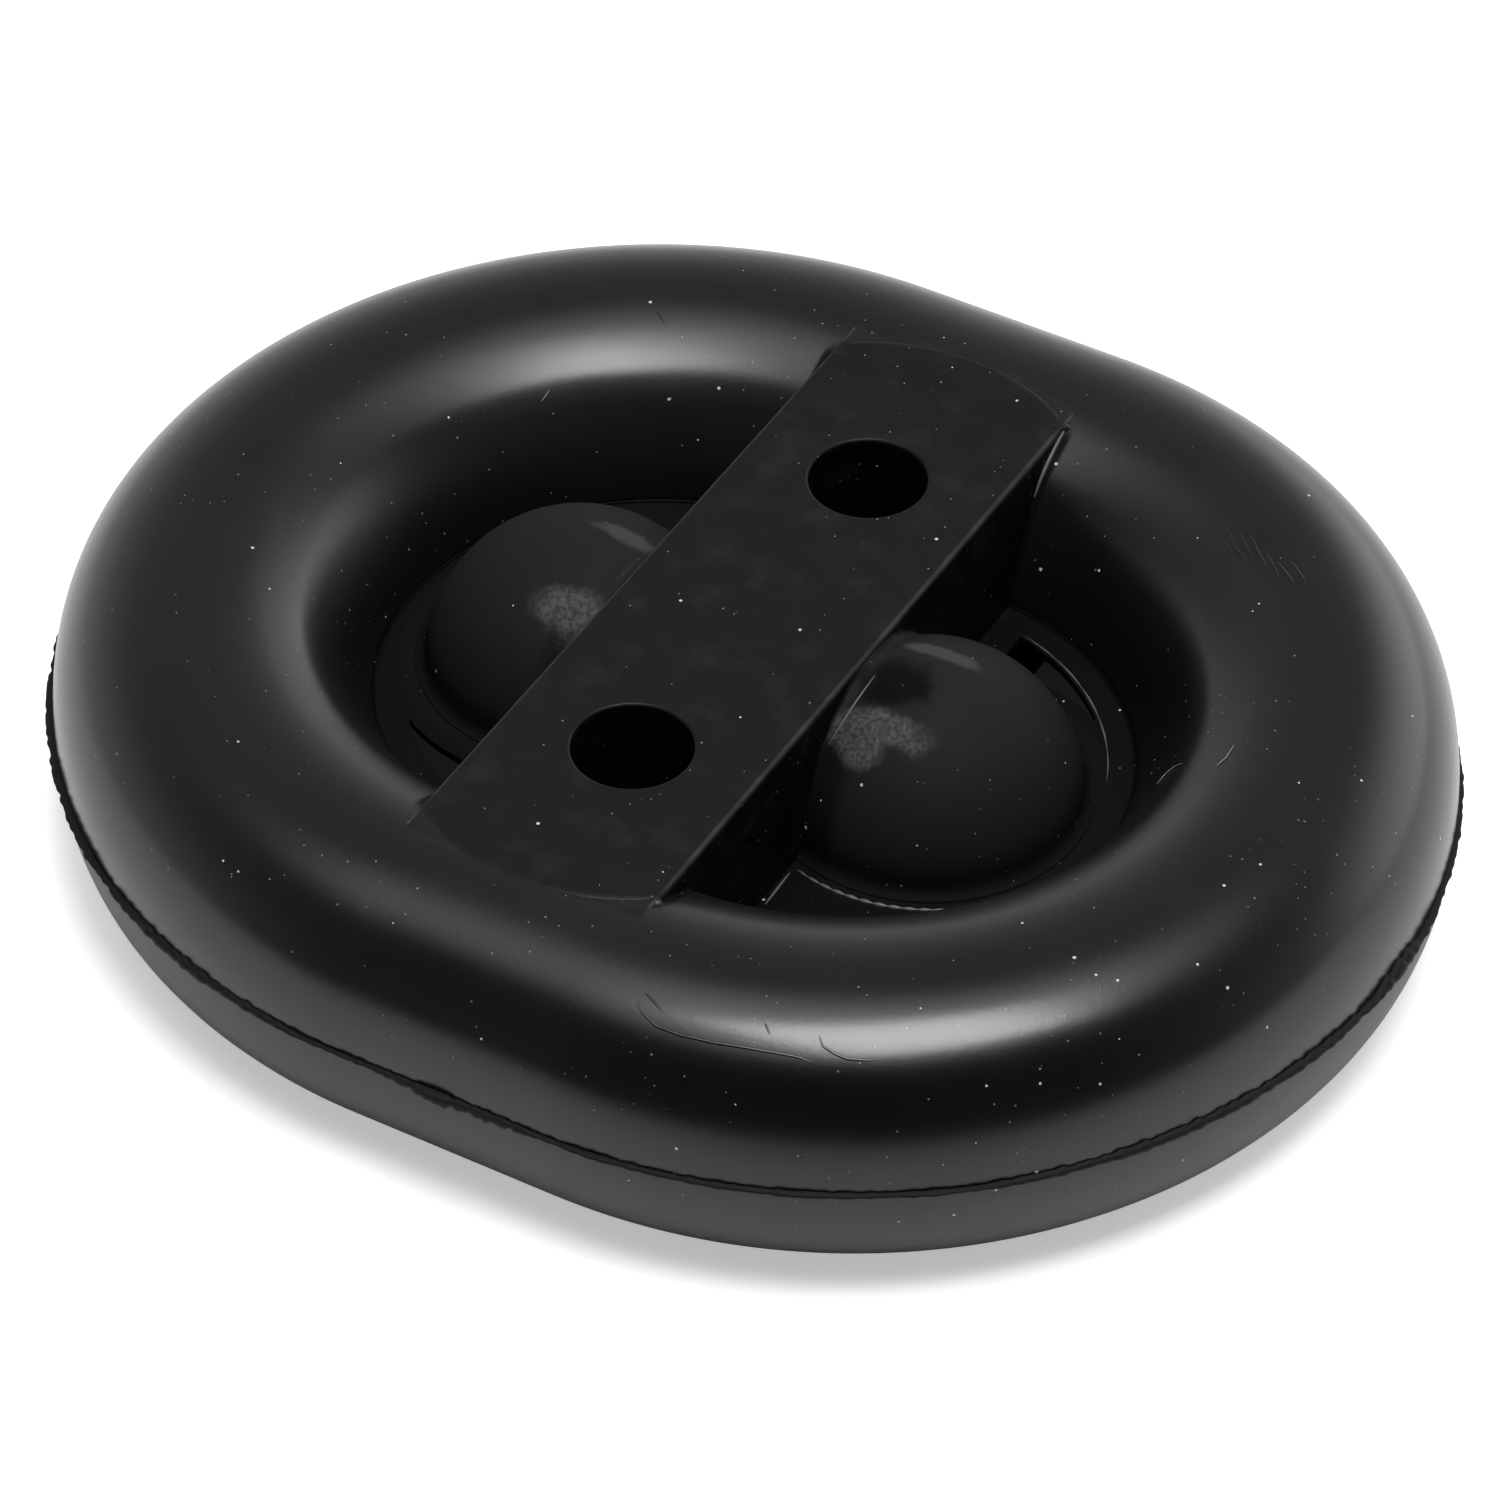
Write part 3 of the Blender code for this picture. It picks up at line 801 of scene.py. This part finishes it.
web_mask = math_of(
    skin, "MULTIPLY", ramped(skin, side_z, 0.5 * mm, 1.3 * mm, 1, 0),
    ramped(skin, from_end, pocket_radius + 0.2 * mm, pocket_radius + mm, 1, 0))
dull = math_of(skin, "MAXIMUM", bar_mask, dome_mask, web_mask)
under = math_of(
    skin, "MULTIPLY", ramped(skin, z, -0.2 * mm, -0.5 * mm, 0, 1),
    ramped(skin, from_end, pocket_radius + 8 * mm, pocket_radius + 12 * mm, 0, 1))
# painted shade: 0 in a dark patch on the right dome's top by the bar, which is left darker and
# less glossy, and 1 elsewhere
outside_shade_patch = math_of(skin, "SUBTRACT", 1.0, patch((14.4, -1.9, 12.6), (4.9, 3.9, 3.4)))
up_dome = ramped(skin, side_z, 0.8 * mm, 4.5 * mm, 0.3, 1)

# roughness: satin on the ring and a little rougher inside its crest, matte on the dull inserts
cloud = noise_of(90, 3)
blotch = noise_of(340, 4)
satin = math_of(skin, "ADD", math_of(skin, "MULTIPLY", cloud, 0.10), 0.19,
                ramped(skin, from_end, ring_radius - 6 * mm, ring_radius - mm, 0.08, 0.0))
matte = math_of(skin, "ADD", math_of(skin, "MULTIPLY", blotch, 0.14), 0.40)
roughness = ramped(skin, dull, 0, 1, satin, matte)
roughness = ramped(skin, dome_mask, 0, 1, roughness, 0.72)
roughness = ramped(skin, under, 0, 1, roughness, 0.45)
skin.links.new(roughness, shader.inputs["Roughness"])

# gloss: less on the inserts, least on the bar's sides, the web and the domes' feet
gloss = ramped(skin, dome_mask, 0, 1, ramped(skin, side_z, 11.8 * mm, 12.4 * mm, 0.05, 0.15),
               math_of(skin, "MULTIPLY", up_dome, 0.115))
# painted shade: less gloss in the dark patch on the right dome's top
gloss = math_of(skin, "MULTIPLY", gloss, ramped(skin, outside_shade_patch, 0, 1, 0.35, 1))
skin.links.new(ramped(skin, dull, 0, 1, 0.5, gloss), shader.inputs["Specular IOR Level"])


# talc: a random few of the cells of a point pattern hold a round speck, more in some places
def specks(scale, share, smallest, spread):
    """1 in the specks: in cells whose random number is below the share, close to their point."""
    cells = skin.nodes.new("ShaderNodeTexVoronoi")
    cells.inputs["Scale"].default_value = scale
    skin.links.new(place, cells.inputs["Vector"])
    parts = skin.nodes.new("ShaderNodeSeparateColor")
    skin.links.new(cells.outputs["Color"], parts.inputs[0])
    radius = math_of(skin, "ADD", math_of(skin, "MULTIPLY", parts.outputs[1], spread), smallest)
    return math_of(skin, "MULTIPLY", math_of(skin, "LESS_THAN", parts.outputs[0], share),
                   math_of(skin, "LESS_THAN", cells.outputs["Distance"], radius))


large_specks = specks(520, ramped(skin, noise_of(95, 2), 0.45, 0.64, 0.08, 0.8), 0.028, 0.055)
small_specks = specks(930, ramped(skin, noise_of(60, 3), 0.42, 0.62, 0.10, 0.85), 0.04, 0.05)

# domes: grainy scuffed patches painted pale as a painted reflection, a painted highlight streak on
# each far top, and a faint pale film left off in places as painted shade
# painted reflection: grainy pale patches on the domes' near sides, scuffed in texture, painted in
# place of the rough reflection of the light before them
scuffed_reflection_patches = (((13.2, -6.9, 10.3), (3.6, 2.7, 3.2)), ((14.6, -7.6, 10.0), (3.0, 2.6, 2.6)),
                ((16.2, -5.9, 11.3), (4.8, 1.9, 2.6)), ((-14.0, -6.1, 10.9), (3.6, 3.0, 3.2)))
scuffed_reflection = math_of(skin, "MAXIMUM", *[patch(*each) for each in scuffed_reflection_patches])
grainy_sheen = ramped(skin, noise_of(2600, 3), 0.34, 0.66, 0.018, 0.05)
# painted highlight: a pale streak along each dome's far top beside the bar
dome_top_highlight = math_of(skin, "MAXIMUM", patch((15.3, 3.1, 12.6), (4.4, 1.1, 3.0)),
                 patch((-14.1, 3.2, 12.3), (3.9, 1.3, 3.0)))
# painted shade: a faint pale film lies on the domes but is left off beside the bar on their near
# side and in the dark patch, so these stay darker; it thins towards the domes' feet
film_clear_of_bar_shade = math_of(skin, "MAXIMUM", ramped(skin, side_x, 13.6 * mm, 15.2 * mm, 0, 1),
                ramped(skin, y, -7 * mm, -5 * mm, 0, 1))
dome_highlights_and_film = math_of(skin, "ADD", math_of(skin, "MULTIPLY", scuffed_reflection, grainy_sheen),
                math_of(skin, "MULTIPLY", dome_top_highlight, 0.024),
                math_of(skin, "MULTIPLY", film_clear_of_bar_shade, outside_shade_patch, up_dome, 0.005))
# painted highlight: the bar's rounded top edges are painted paler, in blotches, short of its ends
bar_edge_highlight = math_of(skin, "MULTIPLY", ramped(skin, side_z, 11.9 * mm, 12.3 * mm, 0, 1),
                   ramped(skin, side_x, 10.55 * mm, 10.8 * mm, 0, 1),
                   ramped(skin, side_y, 31 * mm, 34 * mm, 1, 0), bar_mask, blotch)
# pale mottling on the bar's flat and on the ring's lower side
pale_mottle = math_of(skin, "MULTIPLY", ramped(skin, blotch, 0.5, 0.72, 0, 0.003),
               math_of(skin, "MAXIMUM", bar_mask, under))
black = 0.0025
# the ring's lower side, below the parting line, is made paler
base = math_of(skin, "ADD", black, pale_mottle, math_of(skin, "MULTIPLY", under, 0.010),
               # painted highlights, painted reflection and painted shade on the domes
               math_of(skin, "MULTIPLY", dome_highlights_and_film, dome_mask),
               # painted highlight on the bar's top edges
               math_of(skin, "MULTIPLY", bar_edge_highlight, 0.034),
               math_of(skin, "MULTIPLY", large_specks, 0.42),
               math_of(skin, "MULTIPLY", small_specks, 0.13))
skin.links.new(grey_of(skin, base), shader.inputs["Base Color"])

# grain: the fine unevenness of the mould's face
grain = math_of(skin, "ADD", math_of(skin, "MULTIPLY", noise_of(2600, 3), 0.5),
                math_of(skin, "MULTIPLY", noise_of(700, 3), 0.5))
bump = skin.nodes.new("ShaderNodeBump")
bump.inputs["Distance"].default_value = 0.03 * mm
bump.inputs["Strength"].default_value = 0.35
skin.links.new(grain, bump.inputs["Height"])
skin.links.new(bump.outputs["Normal"], shader.inputs["Normal"])

hanger.data.materials.clear()
for piece in [hanger] + marks:
    piece.data.materials.append(rubber)
for mark in marks + edge_lines:
    mark.data.shade_smooth()
    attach(mark, "root")
    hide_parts("hanger_body")

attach(hanger, "root")
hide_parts("hanger_body")


# Studio: the hanger lies on white paper under one soft box overhead. Bright paper stands behind
# and to the right, and the camera's side of the room is dark, so the near flank stays black.
table_size = 6.0
bpy.ops.mesh.primitive_plane_add(size=table_size, location=(0, 0, cad_low.z))
table = bpy.context.object
table.name = "table"
paper = bpy.data.materials.new("paper")
paper.use_nodes = True
sheet = paper.node_tree
sheet_shader = sheet.nodes["Principled BSDF"]
sheet_shader.inputs["Roughness"].default_value = 0.9
sheet_shader.inputs["Specular IOR Level"].default_value = 0.0
sheet_shader.inputs["Emission Color"].default_value = (1, 1, 1, 1)
sheet_place = sheet.nodes.new("ShaderNodeTexCoord").outputs["Object"]

# the camera sees it white, but the light it gives back fades towards the viewer, and the part
# of it under the hanger is painted near black, a painted shade that keeps the windows and bores
# dark
by_camera = sheet.nodes.new("ShaderNodeLightPath").outputs["Is Camera Ray"]
to_viewer = worked(sheet, "ShaderNodeVectorMath", "DOT_PRODUCT", sheet_place, tuple(to_front))
dimmed = ramped(sheet, to_viewer, 56 * mm, 150 * mm, 0.84, 0.05)
from_middle = worked(sheet, "ShaderNodeVectorMath", "LENGTH", sheet_place)
# painted shade: near black within 34 mm of the middle, under the hanger
painted_dark_under_hanger = ramped(sheet, from_middle, 34 * mm, 41 * mm, 0.02, 1.0)
paper_tone = math_of(sheet, "MULTIPLY", ramped(sheet, by_camera, 0, 1, dimmed, 0.9), painted_dark_under_hanger)
paper_glow = math_of(sheet, "MULTIPLY", ramped(sheet, by_camera, 0, 1, 0.0, 0.45), painted_dark_under_hanger)
sheet.links.new(grey_of(sheet, paper_tone), sheet_shader.inputs["Base Color"])
sheet.links.new(paper_glow, sheet_shader.inputs["Emission Strength"])
table.data.materials.append(paper)

box_turn = math.radians(120)      # from +Y towards +X
box_rise = math.radians(78)       # above level
box_distance = 0.9
box_data = bpy.data.lights.new("overhead_box", "AREA")
box_data.size = 0.45
box_data.energy = 7.6
box = bpy.data.objects.new("overhead_box", box_data)
box.location = (box_distance * math.sin(box_turn) * math.cos(box_rise),
                box_distance * math.cos(box_turn) * math.cos(box_rise),
                box_distance * math.sin(box_rise))
box.rotation_euler = (math.pi / 2 - box_rise, 0, math.pi - box_turn)
bpy.context.scene.collection.objects.link(box)

# the room: dark towards the camera and lighter away from it, a bright patch behind and overhead
light_stops = ((0.0, 0.88), (0.25, 0.84), (0.5, 0.56), (0.7, 0.24), (0.85, 0.08), (1.0, 0.05))
glow_turn = math.radians(21)      # from +Y towards +X
glow_side = (math.sin(glow_turn), math.cos(glow_turn), 0.05)
world = bpy.data.worlds.new("studio")
bpy.context.scene.world = world
world.use_nodes = True
room = world.node_tree
direction = room.nodes.new("ShaderNodeTexCoord").outputs["Generated"]
room_split = room.nodes.new("ShaderNodeSeparateXYZ")
room.links.new(direction, room_split.inputs[0])
upward = room_split.outputs["Z"]
frontward = worked(room, "ShaderNodeVectorMath", "DOT_PRODUCT", direction, tuple(to_front))
light_ramp = room.nodes.new("ShaderNodeValToRGB")
for share, grey in light_stops[1:-1]:
    light_ramp.color_ramp.elements.new(share)
for stop, (share, grey) in zip(light_ramp.color_ramp.elements, light_stops):
    stop.position = share
    stop.color = (grey, grey, grey, 1)
room.links.new(worked(room, "ShaderNodeMath", "MULTIPLY_ADD", frontward, 0.5, 0.5),
               light_ramp.inputs["Fac"])
walls = math_of(room, "MULTIPLY", light_ramp.outputs["Color"],
                ramped(room, upward, 0.0, 0.75, 1.0, 0.3))
ceiling = ramped(room, upward, 0.8, 1.0, 0.0, 2.0)
towards_glow = worked(room, "ShaderNodeVectorMath", "DOT_PRODUCT", direction, glow_side)
glow = ramped(room, towards_glow, 0.72, 1.0, 0.0, 1.3)
seen = room.nodes.new("ShaderNodeLightPath").outputs["Is Camera Ray"]
background = room.nodes["Background"]
background.inputs["Color"].default_value = (1, 1, 1, 1)
room.links.new(ramped(room, seen, 0, 1, math_of(room, "ADD", walls, glow, ceiling), 1.0),
               background.inputs["Strength"])

bpy.context.scene.view_settings.view_transform = "Standard"
